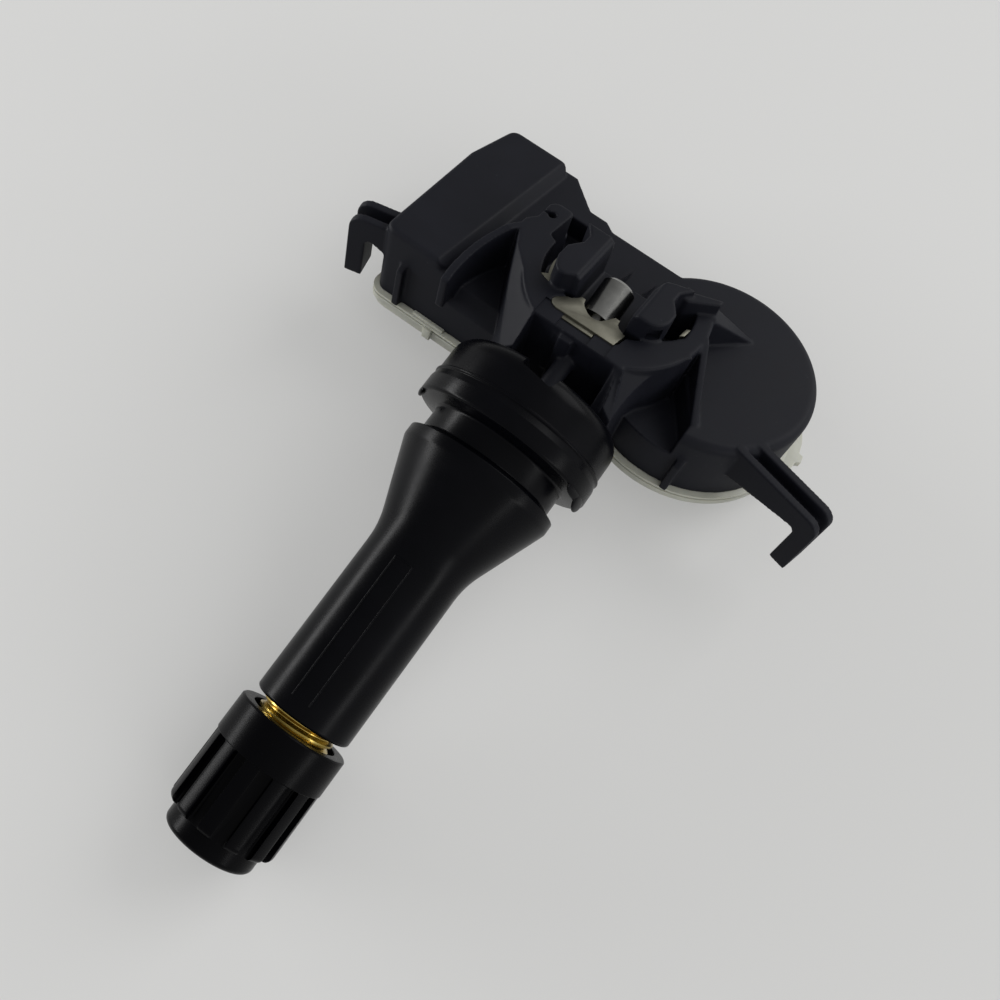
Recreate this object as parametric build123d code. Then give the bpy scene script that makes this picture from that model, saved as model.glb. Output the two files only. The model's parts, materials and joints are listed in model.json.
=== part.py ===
from build123d import *
import os
from math import asin, atan2, cos, degrees, hypot, radians, sin, sqrt

# Tyre pressure sensor on a snap-in rubber valve, in millimetres.
# It is drawn with the housing's base level, the origin where the valve axis meets the rim seat,
# the cap towards -Y, the electronics box towards -X and the battery cup towards +X.
# At the end it is laid down as it rests: on the cap's rib ends and the back edge of the cover.

# Valve sizes, with distances along its axis from the rim seat, positive towards the cap
valve_tilt = 22.9            # degrees that the valve axis dips below the base towards the cap
lip_radius = 9.5             # flange lip that bears inside the rim
lip_bevel = 0.35
lip_slope = 0.25             # how far the flange leans into the neck
tier_radius = 9.25           # back tier of the rubber base
tier_round = 2.0
tier_step = 2.4              # where the two tiers of the base meet
tier_notch = 0.25
parting_radius = 9.64        # parting ring on the front tier
base_back = 6.9              # thickness of the rubber base
neck_radius = 7.2            # neck that sits in the rim hole
rim_groove = 2.6             # width of the neck
neck_bevel = 0.25
shoulder_radius = 8.15       # shoulder that snaps through the rim hole
shoulder_at = 4.1
shoulder_width = 1.0
shoulder_round = 0.9
cone_end = 12.4
cone_round = 9.0
stem_radius = 4.95           # rubber on the straight stem
rubber_end = 30.4
rubber_end_bevel = 0.4
thread_radius = 3.85         # outside of the cap thread
brass_radius = 3.3           # brass tube inside the rubber
brass_end = 41.0
brass_bevel = 0.4
anchor_radius = 5.6          # brass flange locked in the rubber base
anchor_thick = 1.2
anchor_at = 4.6              # back face of that flange, behind the rim seat

# Valve foot
foot_radius = 1.8
foot_end = 20.2              # back end of the foot, behind the rim seat
foot_head = 4.2              # length of the head that the claws hold
foot_neck_radius = 1.0       # groove that takes the retaining plate
foot_neck = 3.4
foot_collar_radius = 2.4
foot_spigot_radius = 2.0     # spigot pressed into the brass
foot_spigot = 6.0
foot_bevel = 0.3
air_bore = 0.65
air_way = 1.0                # cross hole behind the rubber base

# Valve core
core_top = 40.3
core_thread = 4.0            # length of the core's threaded head
core_thread_radius = 2.5
core_barrel_radius = 1.7
core_barrel_end = 29.0
core_slot = 0.9
core_slot_deep = 1.2
bore_radius = 1.3            # air way through the brass
core_well = 25.6             # where the wide bore for the core ends
core_seat_high = 0.8         # ends of the gasket's seat, below the core's thread
core_seat_low = 2.6
core_room = 0.3              # air way round the core barrel
spring_chamber_radius = 1.3
spring_wire = 0.15           # wire radius
spring_turns = 5
spring_sides = 6
pin_radius = 0.6
pin_top = 40.6
collar_radius = 1.1          # collar on the pin that the spring lifts
collar_thick = 0.6
pin_bevel = 0.2
chamber_low = 31.0
chamber_high = 35.9
cup_seal_radius = 1.5
cup_seal_thick = 1.3
cup_seal_bevel = 0.3
core_gasket_thick = 1.6

# Dust cap
cap_open = 31.5              # open rim of the cap
cap_radius = 5.6
cap_collar = 3.7             # plain collar at the open rim
cap_rim_bevel = 0.3
cap_rib_radius = 5.5
cap_root_radius = 4.85       # floor of the channels between the ribs
cap_ribs = 12
cap_channel = 1.3            # width of a channel
cap_rib_end = 42.2
cap_rib_round = 0.6
cap_boss_radius = 4.7
cap_end = 44.1
cap_boss_bevel = 0.4
cap_mouth_radius = 4.4       # plain counterbore at the open rim
cap_mouth = 1.1
cap_gasket_radius = 3.6
cap_gasket_hole = 1.6
cap_gasket_thick = 1.2

# Housing
wall = 1.0
roof = 1.0
wall_foot = -3.5             # lower edge of the walls, where the cover starts
deck_top = 4.2
front = 10.6                 # front wall of the box and deck
box_left = -22.7
box_right_front = -15.2
box_right_back = -13.6
box_left_back = -21.4
box_slant = 6.6              # length of the slant in the box's outer wall
box_top = 5.3
box_corner = 1.2
box_edge = 0.5
box_bevel = 1.0              # along the wall beside the wing
cup_x = 11.5
cup_y = 21.4
cup_radius = 11.25
cup_edge = 1.0
deck_back = 28.6
ledge_back = 29.4            # short ledge behind the deck
ledge_left = -8.8
ledge_right = -6.6
ledge_slant = 1.1
well_x = 0.0
well_y = 18.7                # middle of the horseshoe collar
well_radius = 8.0
well_floor = 1.6
collar_radius_outer = 9.9
collar_front = 10.1          # flat front of the collar
collar_edge = 0.3            # rounded top edges of the collar, pad and claws
collar_top = 7.7
collar_back = 23.6
cheek_left = 6.1             # where the cradle's cheeks meet the rubber base
cheek_right = 6.9
cheek_bow_left = 0.2         # how far the left ridge bows out
cheek_bow_right = 0.9        # how far the right ridge bows in
cheek_root = 10.9            # where the left cheek's ridge leaves the rim
cheek_low = 3.4
cheek_back = 2.4             # how far in front of the well's middle a cheek starts
cheek_wall = 1.3
skirt_back = 8.2             # foot of the skirt beside the gusset
gusset_thick = 1.3           # gusset over the foot that keys into the rubber base
gusset_x = -0.85
gusset_proud = 0.8
gusset_deep = 1.1            # depth of the gusset, square to the valve axis
key_left = -1.6              # notch in the rubber base
key_right = 1.7
key_deep = 1.2
claw_top = 10.0
claw_gap = 2.6               # half the throat between the claws
claw_mouth = 3.4             # half the throat at the top
claw_lip = 1.6               # half the gap at the lips over the foot
claw_outer = 6.3
claw_front = 14.6
claw_back = 21.6
claw_waist = 5.3
claw_waist_y = 19.6
claw_land = 0.6              # half the straight part of the waist
claw_slope = 1.5
claw_round = 1.9
claw_step = 3.0              # half the throat at the step below the top
claw_step_down = 1.0
claw_throat = 0.6            # height of the throat above the foot
arch_top = 9.2               # wall that ties the right claw to the collar
web = 0.9                    # thin webs and wings
web_sink = 0.1               # how far their low ends sink into the deck
web_foot_x = 14.1            # front end of the web beside the cup's hollow
web_foot_y = 12.2
buttress_x = 13.5            # far end of the buttress behind the collar's right end
buttress_y = 26.4
port_x = -10.3               # pressure port in the pad at the collar's left end
port_y = 22.1
port_radius = 0.45
port_slit = 0.35
pad_left = -12.2
pad_right = -8.7
pad_back = 24.1
pad_round = 1.1
pit_back = 27.2              # back end of the pit behind the pad
pit_right = -6.2
well_back = 16.8             # where the deck starts again under the foot
stop_rib = 0.5               # ribs behind the foot
stop_rib_x = 1.5
stop_rib_front = 22.0
stop_rib_back = 25.6
stop_rib_top = 6.2
pocket_floor = 1.2
wing_root_x = -12.1
wing_root_y = 19.0
wing_tip_x = -14.6
wing_tip = 1.6               # how far the wing reaches in front of the front wall
wing_tip_top = 5.2
wing_bend = 1.0              # how far the wing bows out towards the box
scoop_floor = 2.2            # hollow between the wing and the cheek
scoop_round = 1.5
wing_low = 1.4
fin_thick = 0.8
fin_proud = 0.85
box_fin = 3.1                # from the box's left wall
cup_fin = 3.0                # from the cup's middle
box_fin_top = 2.4
cup_fin_top = 1.6

# Arms
arm_splay = 15.0             # degrees that each arm leans forward
arm_width = 3.1
arm_slot = 1.3
arm_web = 0.8
arm_root = 4.1               # depth of the arm at its root
arm_elbow = 2.3              # depth at the elbow
elbow_round = 1.5
elbow_y = 10.1
left_arm = 3.8               # how far each elbow stands out from its wall
right_arm = 6.05
leg_thick = 1.9
leg_foot = -3.6
leg_pad = 1.2                # solid end of a leg
leg_round = 0.6              # inside of the elbow

# Cover
cover_thick = 1.15
cover_lip = 0.6              # how far the cover stands out past the walls
cover_groove = 0.2
cover_groove_deep = 0.3
cover_flange = 0.3

# Retaining plate
plate_thick = 0.7
plate_front = 12.2
plate_ledge = 1.0
plate_left = -6.6
plate_right = 3.3
plate_notch = 3.3            # middle of the notch, from the plate's front
plate_short = 1.7            # depth of the right end
plate_long = 4.7             # depth of the left end
plate_middle = 2.9           # depth beside the notch

# Electronics
board_top = -1.1
board_thick = 0.8
post_radius = 0.8
post_inset = 2.6
post_front = -2.6            # X of the two posts under the deck
post_back = -5.0
cell_radius = 10.0
cell_thick = 3.2
cell_bevel = 0.5
cell_step = 0.5              # step round the cell's top
cell_step_width = 1.2
tab_thick = 0.2
tab_width = 5.0
tab_end = -1.0
tab_reach = 2.0              # past the cell's middle
chip_size = 4.4
chip_thick = 1.3
crystal_length = 3.2
crystal_width = 2.5
crystal_thick = 0.8
crystal_round = 0.4
chip_cap_length = 1.6
chip_cap_width = 0.8
chip_cap_count = 5
chip_cap_pitch = 1.9
chip_cap_inset = 0.5         # from the box's right wall
chip_cap_front = 13.6
coil_length = 11.0
coil_flange = 1.4
coil_front = 14.0
coil_share = 0.58            # coil's width over the room inside the box
coil_height_share = 0.94     # these four over the coil's width
coil_bar_share = 0.53
coil_wire_share = 0.19       # thickness of the winding
coil_round_share = 0.17      # corners of the winding
antenna_thick = 0.3
antenna_height = 1.3
antenna_left = -13.2
antenna_right = -4.0
antenna_front = 12.7
antenna_back = 23.7

# Clearances
bond_gap = 0.02              # rubber on brass, and pressed fits
run_gap = 0.06               # turning and sliding fits
seat_gap = 0.3               # rubber base to cradle
claw_clearance = 0.1
board_gap = 0.3
cell_gap = 0.25
plate_gap = 0.15
overrun = 1.0                # how far a cut runs past the face it starts from

valve = Plane(
    origin=(0, 0, 0),
    x_dir=(1, 0, 0),
    z_dir=(0, -cos(radians(valve_tilt)), -sin(radians(valve_tilt))),
)
side_plane = Plane.YZ
board_low = board_top - board_thick
cover_low = wall_foot - cover_thick
deck_ceiling = well_floor - roof
box_back = cup_y + cup_radius
cell_low = wall_foot + tab_thick
left_elbow = box_left - left_arm
right_elbow = cup_x + cup_radius + right_arm
seat_high = core_top - core_thread - core_seat_high
seat_low = core_top - core_thread - core_seat_low
cell_top = cell_low + cell_thick
coil_x = (box_left + box_right_front) / 2
coil_width = coil_share * (box_right_front - box_left - 2 * wall)
coil_height = coil_height_share * coil_width
coil_bar = coil_bar_share * coil_width
coil_wire = coil_wire_share * coil_width


def flat(points):
    return Polygon(*points, align=None)


def rounded(face, corners):
    for x, y, radius in corners:
        corner = face.vertices().sort_by_distance((x, y, 0))[0]
        face = fillet(corner, radius)
    return face


def bevelled(face, corners):
    for x, y, length in corners:
        corner = face.vertices().sort_by_distance((x, y, 0))[0]
        face = chamfer(corner, length)
    return face


def prism(face, low, high):
    return extrude(Pos(0, 0, low) * face, amount=high - low, dir=(0, 0, 1))


def side_prism(points, x_low, x_high):
    """A solid with an outline in the YZ plane, between two values of X."""
    return extrude(Pos(x_low, 0, 0) * (side_plane * flat(points)), amount=x_high - x_low, dir=(1, 0, 0))


def turned(face):
    """Turn an outline of (radius, distance) points about the Z axis."""
    return revolve(Plane.XZ * face, Axis.Z)


def rod(radius, low, high):
    return Pos(0, 0, low) * Cylinder(radius, high - low, align=(Align.CENTER, Align.CENTER, Align.MIN))


def block(x_low, x_high, y_low, y_high, z_low, z_high):
    size = (x_high - x_low, y_high - y_low, z_high - z_low)
    return Pos(x_low, y_low, z_low) * Box(*size, align=(Align.MIN, Align.MIN, Align.MIN))


# Plan outlines of the housing

def box_face():
    corners = [
        (box_left, front),
        (box_right_front, front),
        (box_right_back, box_back),
        (box_left_back, box_back),
        (box_left, box_back - box_slant),
    ]
    return rounded(flat(corners), [(x, y, box_corner) for x, y in corners])


def deck_face():
    left = box_right_front - 2 * wall
    right = cup_x - cup_radius / 2
    return flat([
        (left, front),
        (right, front),
        (right, deck_back),
        (ledge_right + ledge_slant, deck_back),
        (ledge_right, ledge_back),
        (ledge_left, ledge_back),
        (box_right_back + ledge_slant, box_back),
        (left, box_back),
    ])


def cup_face(radius=cup_radius):
    return Pos(cup_x, cup_y) * Circle(radius)


def base_face():
    return box_face() + deck_face() + cup_face()


def pocket_face(margin=0.0):
    """Open hollow between the cradle and the web on the battery cup."""
    edge = margin - web
    left = well_x + cheek_right - cheek_wall / 2 - margin
    return flat([
        (left, front - 2 * wall),
        (web_foot_x + edge, front - 2 * wall),
        (web_foot_x + edge, web_foot_y),
        (well_x + collar_radius_outer + edge, well_y + margin),
        (left, well_y + margin),
    ])


# Rubber, brass and foot of the valve

def rubber_valve_body():
    outline = [
        (foot_collar_radius + bond_gap, -base_back),
        (tier_radius, -base_back),
        (tier_radius, -tier_step - tier_notch),
        (tier_radius - tier_notch, -tier_step),
        (parting_radius, -tier_step + tier_notch),
        (lip_radius, 0),
        (neck_radius, lip_slope),
        (neck_radius, rim_groove),
        (shoulder_radius, shoulder_at - shoulder_width),
        (shoulder_radius, shoulder_at),
        (stem_radius, cone_end),
        (stem_radius, rubber_end),
        (brass_radius + bond_gap, rubber_end),
        (brass_radius + bond_gap, anchor_thick - anchor_at + bond_gap),
        (anchor_radius + bond_gap, anchor_thick - anchor_at + bond_gap),
        (anchor_radius + bond_gap, -anchor_at - bond_gap),
        (foot_collar_radius + bond_gap, -anchor_at - bond_gap),
    ]
    face = rounded(flat(outline), [
        (tier_radius, -base_back, tier_round),
        (shoulder_radius, shoulder_at, shoulder_round),
        (stem_radius, cone_end, cone_round),
    ])
    face = bevelled(face, [
        (lip_radius, 0, lip_bevel),
        (neck_radius, rim_groove, neck_bevel),
        (shoulder_radius, shoulder_at - shoulder_width, shoulder_width / 3),
        (stem_radius, rubber_end, rubber_end_bevel),
    ])
    body = turned(face)
    key = block(
        key_left, key_right,
        foot_collar_radius + 2 * bond_gap, tier_radius + overrun,
        -base_back - overrun, -base_back + key_deep,
    )
    return valve * (body - key)


def brass_stem():
    spigot_stop = foot_spigot - anchor_at + foot_bevel
    outline = [
        (foot_spigot_radius + bond_gap, -anchor_at),
        (anchor_radius, -anchor_at),
        (anchor_radius, anchor_thick - anchor_at),
        (brass_radius, anchor_thick - anchor_at),
        (brass_radius, rubber_end + bond_gap),
        (thread_radius, rubber_end + bond_gap),
        (thread_radius, brass_end - brass_bevel),
        (thread_radius - brass_bevel, brass_end),
        (core_thread_radius + run_gap, brass_end),
        (core_thread_radius + run_gap, seat_high),
        (core_barrel_radius + core_room, seat_low),
        (core_barrel_radius + core_room, core_well),
        (bore_radius, core_well - core_room),
        (bore_radius, spigot_stop),
        (foot_spigot_radius + bond_gap, spigot_stop),
    ]
    return valve * turned(flat(outline))


def valve_foot():
    neck_back = -foot_end + foot_head
    neck_front = neck_back + foot_neck
    outline = [
        (0, -foot_end),
        (foot_radius - foot_bevel, -foot_end),
        (foot_radius, -foot_end + foot_bevel),
        (foot_radius, neck_back),
        (foot_neck_radius, neck_back),
        (foot_neck_radius, neck_front),
        (foot_radius, neck_front),
        (foot_radius, -base_back),
        (foot_collar_radius, -base_back),
        (foot_collar_radius, -anchor_at - bond_gap),
        (foot_spigot_radius, -anchor_at - bond_gap),
        (foot_spigot_radius, foot_spigot - anchor_at),
        (air_bore, foot_spigot - anchor_at),
        (air_bore, -base_back - air_way - air_bore),
        (0, -base_back - air_way - air_bore),
    ]
    foot = turned(flat(outline))
    cross_hole = Pos(0, 0, -base_back - air_way) * Rot(0, 90, 0) * Cylinder(air_bore, 3 * foot_radius)
    return valve * (foot - cross_hole)


# Valve core

def core_barrel():
    guide = pin_radius + run_gap
    outline = [
        (guide, core_barrel_end),
        (core_barrel_radius, core_barrel_end),
        (core_barrel_radius, core_top - core_thread),
        (core_thread_radius, core_top - core_thread),
        (core_thread_radius, core_top),
        (guide, core_top),
        (guide, chamber_high),
        (spring_chamber_radius, chamber_high),
        (spring_chamber_radius, chamber_low),
        (guide, chamber_low),
    ]
    barrel = turned(flat(outline))
    key_slot = block(
        -core_thread_radius - overrun, core_thread_radius + overrun,
        -core_slot / 2, core_slot / 2,
        core_top - core_slot_deep, core_top + overrun,
    )
    return valve * (barrel - key_slot)


def core_pin():
    collar_top_at = chamber_high - run_gap
    outline = [
        (0, core_barrel_end - cup_seal_thick - pin_bevel),
        (pin_radius, core_barrel_end - cup_seal_thick - pin_bevel),
        (pin_radius, collar_top_at - collar_thick),
        (collar_radius, collar_top_at - collar_thick),
        (collar_radius, collar_top_at),
        (pin_radius, collar_top_at),
        (pin_radius, pin_top - pin_bevel),
        (pin_radius - pin_bevel, pin_top),
        (0, pin_top),
    ]
    return valve * turned(flat(outline))


def core_spring():
    low = chamber_low + spring_wire + bond_gap
    high = chamber_high - run_gap - collar_thick - spring_wire - bond_gap
    coil_radius = (pin_radius + spring_chamber_radius) / 2
    path = Helix(pitch=(high - low) / spring_turns, height=high - low, radius=coil_radius)
    section = (path ^ 0) * RegularPolygon(spring_wire, spring_sides)
    return valve * (Pos(0, 0, low) * sweep(section, path=path, is_frenet=True))


def core_cup_seal():
    outline = [
        (pin_radius + bond_gap, core_barrel_end - cup_seal_thick),
        (cup_seal_radius - cup_seal_bevel, core_barrel_end - cup_seal_thick),
        (cup_seal_radius, core_barrel_end - cup_seal_thick + cup_seal_bevel),
        (cup_seal_radius, core_barrel_end - bond_gap),
        (pin_radius + bond_gap, core_barrel_end - bond_gap),
    ]
    return valve * turned(flat(outline))


def core_gasket():
    high = core_top - core_thread - bond_gap
    low = high - core_gasket_thick
    wide = core_thread_radius + run_gap
    narrow = core_barrel_radius + core_room
    low_radius = narrow + (wide - narrow) * (low - seat_low) / (seat_high - seat_low)
    outline = [
        (core_barrel_radius + bond_gap, low),
        (low_radius - 2 * bond_gap, low),
        (wide - 2 * bond_gap, seat_high),
        (wide - 2 * bond_gap, high),
        (core_barrel_radius + bond_gap, high),
    ]
    return valve * turned(flat(outline))


# Dust cap

def dust_cap():
    inside_end = brass_end + cap_gasket_thick + 2 * run_gap
    outline = [
        (cap_mouth_radius, cap_open),
        (cap_radius, cap_open),
        (cap_radius, cap_open + cap_collar),
        (cap_rib_radius, cap_open + cap_collar),
        (cap_rib_radius, cap_rib_end),
        (cap_boss_radius, cap_rib_end),
        (cap_boss_radius, cap_end),
        (0, cap_end),
        (0, inside_end),
        (thread_radius + run_gap, inside_end),
        (thread_radius + run_gap, cap_open + cap_mouth),
        (cap_mouth_radius, cap_open + cap_mouth),
    ]
    face = rounded(flat(outline), [(cap_rib_radius, cap_rib_end, cap_rib_round)])
    face = bevelled(face, [
        (cap_radius, cap_open, cap_rim_bevel),
        (cap_boss_radius, cap_end, cap_boss_bevel),
    ])
    cap = turned(face)
    channel = block(
        cap_root_radius, cap_radius + overrun,
        -cap_channel / 2, cap_channel / 2,
        cap_open + cap_collar, cap_end,
    )
    channels = [Rot(0, 0, (k + 0.5) * 360 / cap_ribs) * channel for k in range(cap_ribs)]
    return valve * (cap - channels)


def cap_gasket():
    low = brass_end + run_gap
    outline = [
        (cap_gasket_hole, low),
        (cap_gasket_radius, low),
        (cap_gasket_radius, low + cap_gasket_thick),
        (cap_gasket_hole, low + cap_gasket_thick),
    ]
    return valve * turned(flat(outline))


# Housing

def below(solid, high, low):
    """Keep what lies under a sloping plane that falls from one point to another and is level across."""
    fall = Vector(*low) - Vector(*high)
    across = Vector(-fall.Y, fall.X, 0)
    up = across.cross(fall)
    if up.Z < 0:
        up = up * -1
    return split(solid, bisect_by=Plane(origin=high, z_dir=up), keep=Keep.BOTTOM)


def pad_face():
    """Pad with the pressure port, behind the collar's left end."""
    corners = [
        (pad_left, well_y),
        (well_x - cheek_root, well_y - cheek_back),
        (pad_right, well_y - cheek_back),
        (pad_right, pad_back),
        (port_x - pad_round, pad_back),
        (port_x - pad_round, port_y - pad_round),
        (pad_left, well_y + pad_round),
    ]
    return rounded(flat(corners), [
        (pad_right, pad_back, pad_round / 2),
        (port_x - pad_round, pad_back, pad_round),
        (port_x - pad_round, port_y - pad_round, pad_round / 2),
    ])


def collar_face():
    """Outside of the horseshoe collar with its pad, flat at its front and open at its back."""
    reach = 2 * collar_radius_outer
    strip = Pos(well_x, (collar_front + collar_back) / 2) * Rectangle(reach, collar_back - collar_front)
    return ((Pos(well_x, well_y) * Circle(collar_radius_outer)) & strip) + pad_face()


def well_face(y_front):
    """The well inside the collar, open at its back, from a straight front edge."""
    y_back = collar_back + overrun
    strip = Pos(well_x, (y_front + y_back) / 2) * Rectangle(2 * well_radius, y_back - y_front)
    return (Pos(well_x, well_y) * Circle(well_radius)) & strip


def foot_deck_face():
    """Part of the deck that runs on under the foot, between the claws."""
    y_back = collar_back + 2 * overrun
    return Pos(well_x, (well_back + y_back) / 2) * Rectangle(2 * claw_waist, y_back - well_back)


def pit_face():
    """Pit behind the pad, open to the well beside the left claw."""
    return flat([
        (well_x - well_radius + wall, well_y),
        (well_x - well_radius - wall, well_y + wall),
        (pad_right, pad_back + claw_clearance),
        (port_x, pit_back),
        (pit_right - wall, pit_back),
        (pit_right, claw_back),
    ])


def sloped(plan, high, side, low):
    """Block under a plan outline, up to the sloping plane through three points."""
    up = (low - high).cross(side - high)
    if up.Z < 0:
        up = up * -1
    return split(prism(plan, wall_foot, collar_top), bisect_by=Plane(origin=high, z_dir=up), keep=Keep.BOTTOM)


def cheek(side, root, foot, bow):
    """Side of the cradle, sloping from the collar's rim down to the back of the rubber base."""
    rim_side = Vector(well_x + side * root, well_y - cheek_back, collar_top)
    rim_front = Vector(well_x + side * (cheek_left - cheek_wall), collar_front, collar_top)
    seat = Vector(well_x + side * foot, collar_front - 2 * cheek_wall, cheek_low)
    start = Vector(rim_side.X, rim_side.Y)
    end = Vector(seat.X, seat.Y)
    ridge = ThreePointArc(start, (start + end) / 2 + Vector(bow, 0), end)
    inside = Polyline(
        end,
        end - Vector(side * cheek_wall, 0),
        Vector(rim_front.X, rim_front.Y),
        Vector(well_x, start.Y + wall),
        start,
    )
    return sloped(make_face([ridge, inside]), rim_side, rim_front, seat)


def skirt():
    """Front of the cradle between the gusset and the right cheek."""
    rim_front = Vector(well_x + cheek_left - cheek_wall, collar_front, collar_top)
    seat = Vector(well_x + cheek_right, collar_front - 2 * cheek_wall, cheek_low)
    root = Vector(gusset_x, skirt_back, cheek_low)
    plan = flat([
        (root.X, root.Y),
        (seat.X, seat.Y),
        (rim_front.X, collar_front + wall),
        (gusset_x, collar_front + wall),
    ])
    return sloped(plan, rim_front, seat, root)


def gusset():
    """Gusset over the foot, from the collar's front wall into the notch of the rubber base."""
    front_end = -base_back + gusset_proud
    low = foot_collar_radius + seat_gap
    bar = block(
        gusset_x - gusset_thick / 2, gusset_x + gusset_thick / 2,
        low, low + gusset_deep,
        -foot_end, front_end,
    )
    sleeve = rod(low + web_sink, -foot_end, -base_back - seat_gap)
    limit = block(2 * box_left, 2 * cup_x, -lip_radius, collar_front + wall, wall_foot, collar_top)
    return (valve * (bar + sleeve)) & limit


def claw_face():
    """Plan of the right claw, closed over the foot's axis."""
    inside = claw_lip / 2
    face = flat([
        (inside, claw_front),
        (claw_outer, claw_front),
        (claw_outer, claw_waist_y - claw_land - claw_slope),
        (claw_waist, claw_waist_y - claw_land),
        (claw_waist, claw_waist_y + claw_land),
        (claw_outer, claw_back),
        (inside, claw_back),
    ])
    return rounded(face, [(claw_outer, claw_front, claw_round)])


def claws():
    """Two snap claws that hold the foot from both sides, with lips over its widest part."""
    right = claw_face()
    low = well_floor - roof / 2
    pair = prism(right, low, claw_top) + prism(mirror(right, Plane.YZ), low, claw_top)
    arch = flat([
        (claw_waist - web, claw_back - web),
        (claw_waist + web / 2, claw_back + web / 2),
        (well_x + collar_radius_outer - web, collar_back - web / 8),
        (well_x + collar_radius_outer - web, collar_back - web),
        (claw_waist + web, claw_back - web),
    ])
    pair += prism(arch, low, arch_top)
    saddle = rod(foot_radius + claw_clearance, -3 * foot_end, 0)
    throat = prism(
        flat([
            (-claw_lip, foot_radius / 2),
            (claw_lip, foot_radius / 2),
            (claw_gap, foot_radius + claw_throat),
            (claw_gap, 2 * claw_top),
            (-claw_gap, 2 * claw_top),
            (-claw_gap, foot_radius + claw_throat),
        ]),
        -3 * foot_end, 0,
    )
    run = (claw_front - overrun, claw_back + overrun)
    step = block(-claw_step, claw_step, *run, claw_top - claw_step_down, claw_top)
    mouth = block(-claw_mouth, claw_mouth, *run, claw_top - collar_edge, claw_top)
    return pair - valve * (saddle + throat) - step - mouth


def wing_arc(shift):
    """Bowed line of the wing in plan, moved towards +X."""
    start = Vector(wing_root_x + shift, wing_root_y)
    end = Vector(wing_tip_x + shift, front - wing_tip)
    return ThreePointArc(start, (start + end) / 2 - Vector(wing_bend, 0), end)


def wing():
    """Thin bowed wall from the pad along the box, ending in a tip in front of the front wall."""
    outer = wing_arc(0)
    inner = wing_arc(web)
    plan = make_face([outer, Line(outer @ 1, inner @ 1), inner, Line(inner @ 0, outer @ 0)])
    high = (wing_root_x, wing_root_y - 2 * web, collar_top)
    low = (wing_tip_x, front - wing_tip, wing_tip_top)
    return below(prism(plan, wing_low, collar_top), high, low)


def scoop():
    """Hollow between the wing and the left cheek, open to the front with a rounded sill."""
    edge = wing_arc(web / 2)
    corners = [
        edge @ 1,
        Vector(well_x - cheek_left, front - wing_tip),
        Vector(well_x - cheek_root + wall, well_y - cheek_back),
        Vector(well_x - cheek_root, wing_root_y),
        edge @ 0,
    ]
    plan = make_face([edge, Polyline(*corners)])
    sill = side_prism(
        [
            (front - wing_tip, deck_top + overrun),
            (front - wing_tip, scoop_floor - scoop_round),
            (front, scoop_floor - scoop_round),
            (front + scoop_round, scoop_floor),
            (wing_root_y, scoop_floor),
            (wing_root_y, deck_top + overrun),
        ],
        wing_tip_x, well_x,
    )
    return prism(plan, wall_foot, collar_top) & sill


def cup_web():
    """Thin wall from the collar's right side down to the front of the battery cup."""
    root_x = well_x + collar_radius_outer
    plan = flat([
        (root_x - web, well_y + wall),
        (root_x, well_y + wall),
        (web_foot_x, web_foot_y),
        (web_foot_x - web, web_foot_y),
    ])
    wall_up = prism(plan, pocket_floor - roof / 2, collar_top)
    return below(wall_up, (root_x, well_y, collar_top), (web_foot_x, web_foot_y, deck_top - web_sink))


def stop_ribs():
    """Two thin ribs on the deck behind the foot."""
    foot = deck_top - web_sink
    points = [(stop_rib_front, foot), (stop_rib_front, stop_rib_top), (stop_rib_back, foot)]
    rib = side_prism(points, stop_rib_x - stop_rib / 2, stop_rib_x + stop_rib / 2)
    return rib + mirror(rib, Plane.YZ)


def buttress():
    """Tapered wall behind the collar's right end, falling to the top of the battery cup."""
    root_x = well_x + collar_radius_outer
    plan = flat([
        (root_x - 3 * web, collar_back),
        (root_x - 0.5 * web, collar_back - 2 * web),
        (buttress_x, buttress_y - 0.4 * web),
        (buttress_x - 0.4 * web, buttress_y),
    ])
    wall_up = prism(plan, deck_top - roof / 2, collar_top)
    high = (root_x - web, collar_back - web, collar_top)
    return below(wall_up, high, (buttress_x, buttress_y, deck_top - web_sink))


def arm(elbow_x, turn, reach):
    """Bent arm of channel section with a leg; turn is +1 where the arm runs towards +X from its elbow."""
    lean = radians(arm_splay)
    along = Vector(turn * cos(lean), sin(lean), 0)
    back = Vector(-turn * sin(lean), cos(lean), 0)
    plane = Plane(origin=(elbow_x, elbow_y, 0), x_dir=along, z_dir=along.cross(Vector(0, 0, 1)))
    profile = rounded(
        flat([
            (0, deck_top),
            (0, leg_foot),
            (leg_thick, leg_foot),
            (leg_thick, deck_top - arm_elbow),
            (reach, deck_top - arm_root),
            (reach, deck_top),
        ]),
        [(0, deck_top, elbow_round), (leg_thick, deck_top - arm_elbow, leg_round)],
    )
    trough = flat([
        (leg_thick - arm_web, deck_top - arm_elbow + arm_web),
        (reach + overrun, deck_top - arm_elbow + arm_web),
        (reach + overrun, deck_top + overrun),
        (-overrun, deck_top + overrun),
        (-overrun, leg_foot + leg_pad),
        (leg_thick - arm_web, leg_foot + leg_pad),
    ])
    solid = extrude(plane * profile, amount=arm_width, dir=back)
    start = back * ((arm_width - arm_slot) / 2)
    cut = extrude(Pos(start.X, start.Y, 0) * (plane * trough), amount=arm_slot, dir=back)
    return solid - cut


def right_reach():
    """Length of the right arm from its elbow into the cup's wall."""
    lean = radians(arm_splay)
    along = (right_elbow - cup_x) * cos(lean) + (cup_y - elbow_y) * sin(lean)
    across = (cup_y - elbow_y) * cos(lean) - (right_elbow - cup_x) * sin(lean)
    inner = cup_radius - wall / 2
    return along - sqrt(inner * inner - across * across)


def left_reach():
    return (box_left + wall / 2 - left_elbow) / cos(radians(arm_splay)) + arm_width * sin(radians(arm_splay))


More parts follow.
